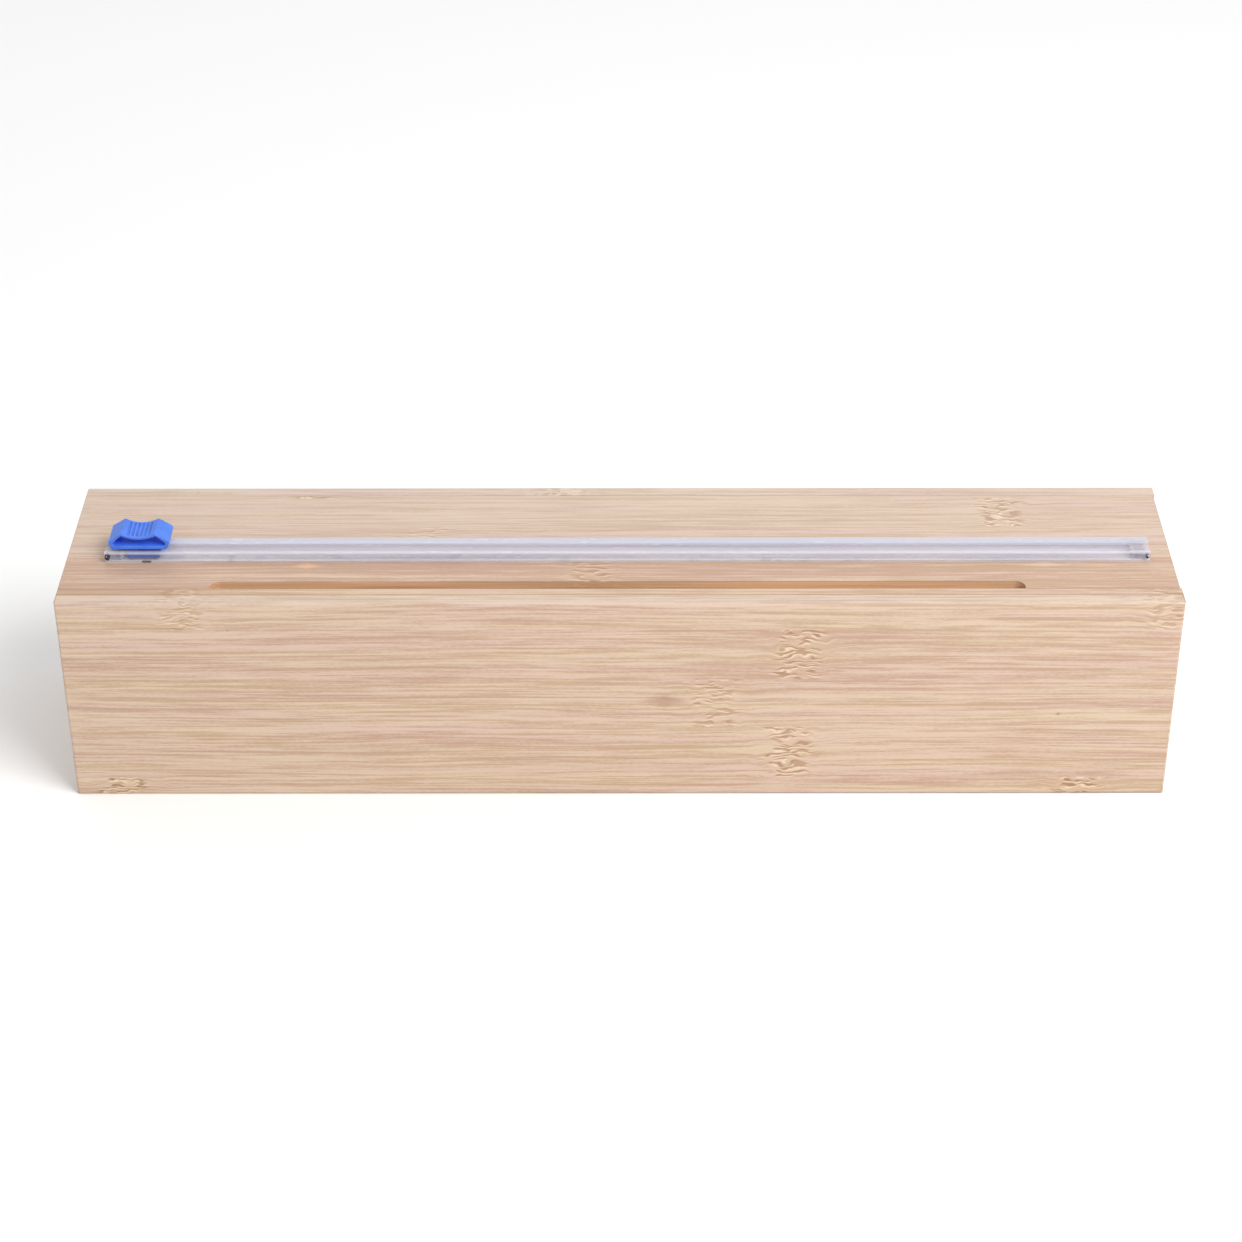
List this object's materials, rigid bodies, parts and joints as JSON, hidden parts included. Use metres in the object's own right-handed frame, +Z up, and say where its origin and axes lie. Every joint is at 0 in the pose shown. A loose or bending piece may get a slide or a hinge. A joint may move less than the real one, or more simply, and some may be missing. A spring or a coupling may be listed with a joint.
{
  "type": "cling film dispenser",
  "caption": "Bamboo box for a roll of cling film, with a lift-off lid, a film slot and a sliding cutter that runs along a clear rail on the lid.",
  "frame": {"origin": "centre of the box's underside, on the surface it stands on", "axes": "+X along the box, to the right of a person facing its front; +Y towards the back; +Z up"},
  "size_m": [0.345, 0.07, 0.0817],
  "materials": {
    "bamboo_board": "fine-sanded, clear satin",
    "bamboo_inner": "sanded, unfinished",
    "magnet": "bright nickel plate",
    "foam_tape": "matt, milky",
    "clear_rail": "clear extruded plastic with a bluish tint",
    "clear_stop": "clear moulded plastic",
    "blue_knob": "satin moulded plastic",
    "blue_foot": "satin moulded plastic",
    "blade_steel": "ground edge"
  },
  "bodies": {
    "box": {"front_board": "bamboo_board", "front_guide_strip": "bamboo_board", "back_board": "bamboo_board", "bottom_board": "bamboo_inner", "left_end_board": "bamboo_board", "right_end_board": "bamboo_board", "box_magnets_left": "magnet", "box_magnets_right": "magnet"},
    "lid": {"lid_board": "bamboo_board", "lid_batten_left": "bamboo_inner", "lid_batten_right": "bamboo_inner", "lid_magnets_left": "magnet", "lid_magnets_right": "magnet", "rail_tape": "foam_tape", "cutter_rail": "clear_rail", "rail_end_stop_left": "clear_stop", "rail_end_stop_right": "clear_stop"},
    "slider": {"slider_foot": "blue_foot", "slider_knob": "blue_knob", "cutter_blade_left": "blade_steel", "cutter_blade_right": "blade_steel"}
  },
  "joints": [
    {"name": "lid_lift", "type": "slide", "parent": "box", "child": "lid", "axis": [0, 0, 1], "range_m": [0, 0.06]},
    {"name": "cutter_slide", "type": "slide", "parent": "lid", "child": "slider", "axis": [1, 0, 0], "range_m": [-0.0011, 0.3018]}
  ]
}
